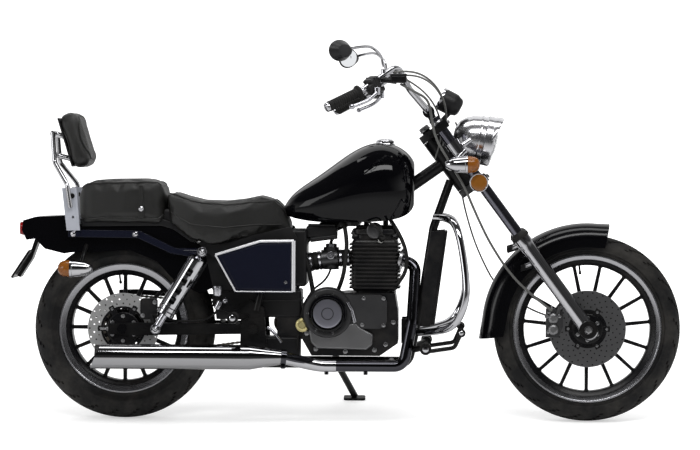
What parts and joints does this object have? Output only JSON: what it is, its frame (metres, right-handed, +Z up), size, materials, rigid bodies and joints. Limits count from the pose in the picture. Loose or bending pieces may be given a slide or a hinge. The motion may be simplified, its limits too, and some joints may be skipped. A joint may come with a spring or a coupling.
{
  "type": "cruiser motorcycle",
  "caption": "Long, low cruiser motorcycle with pull-back bars, stepped seat, backrest and crash bars, leaning on its side stand; the wheels, steering and stand move.",
  "frame": {"origin": "on the floor, under the middle of the machine's outline as it leans on its stand", "axes": "+X forward, +Y to the rider's left, +Z up from the floor"},
  "size_m": [2.2227, 0.8905, 1.3001],
  "materials": {
    "paint_black": "gloss black paint",
    "frame_black": "satin black paint",
    "engine_black": "satin black heatproof paint",
    "chrome": "bright chrome plate",
    "polished_alloy": "polished",
    "rim_alloy": "machined rim band, black spokes",
    "disc_steel": "ground",
    "tyre_rubber": "matt rubber",
    "black_leather": "grained black cover",
    "black_rubber": "matt",
    "black_plastic": "fine grain",
    "amber_lens": "clear amber",
    "red_lens": "clear red"
  },
  "bodies": {
    "chassis": {"frame_spine": "frame_black", "frame_cradle": "frame_black", "frame_rear_posts": "frame_black", "radiator_panel": "frame_black", "swingarm": "frame_black", "rear_spindle": "polished_alloy", "shock_absorbers": "chrome", "crankcase": "engine_black", "clutch_cover": "polished_alloy", "generator_cover": "engine_black", "cylinders": "engine_black", "head_cover": "engine_black", "engine_mounts": "frame_black", "carburettor": "engine_black", "exhaust_pipes": "chrome", "muffler": "chrome", "fuel_tank": "paint_black", "tank_cap": "chrome", "rider_seat": "black_leather", "pillion_seat": "black_leather", "backrest_pad": "black_leather", "sissy_bar": "chrome", "sissy_plates": "chrome", "side_covers": "paint_black", "battery_tray": "paint_black", "rear_fender": "paint_black", "fender_rails": "chrome", "tail_lamp": "red_lens", "plate_bracket": "black_plastic", "rear_signals": "chrome", "crash_bars": "chrome", "foot_pegs": "black_rubber", "foot_controls": "chrome", "drive_chain": "disc_steel", "rear_calliper": "polished_alloy", "stand_bracket": "frame_black"},
    "front_end": {"steering_clamps": "frame_black", "fork_tubes": "polished_alloy", "fork_sliders": "polished_alloy", "front_spindle": "polished_alloy", "handlebar": "chrome", "grips": "black_rubber", "bar_controls": "chrome", "mirrors": "chrome", "headlight": "chrome", "lamp_brackets": "frame_black", "front_signals": "chrome", "fork_reflectors": "amber_lens", "speedometer": "black_plastic", "front_fender": "paint_black", "front_calliper": "polished_alloy"},
    "front_wheel": {"front_tyre": "tyre_rubber", "front_rim_and_hub": "rim_alloy", "front_disc": "disc_steel"},
    "rear_wheel": {"rear_tyre": "tyre_rubber", "rear_rim_and_hub": "rim_alloy", "rear_disc": "disc_steel", "rear_sprocket": "disc_steel"},
    "side_stand": {"stand_leg": "frame_black"}
  },
  "joints": [
    {"name": "steering", "type": "hinge", "parent": "chassis", "child": "front_end", "pos_m": [0.33953, -0.05578, 0.84804], "axis": [-0.5948, 0.1258, 0.794], "range_deg": [-36, 36]},
    {"name": "front_wheel_spin", "type": "hinge", "parent": "front_end", "child": "front_wheel", "pos_m": [0.801, -0.1415, 0.3068], "axis": [0, 0.9877, -0.1564], "continuous": true},
    {"name": "rear_wheel_spin", "type": "hinge", "parent": "chassis", "child": "rear_wheel", "pos_m": [-0.739, -0.14276, 0.2989], "axis": [0, 0.9877, -0.1564], "continuous": true},
    {"name": "side_stand_fold", "type": "hinge", "parent": "chassis", "child": "side_stand", "pos_m": [-0.039, -0.03479, 0.16233], "axis": [0.1499, 0.721, 0.6765], "range_deg": [0, 101.6]}
  ]
}
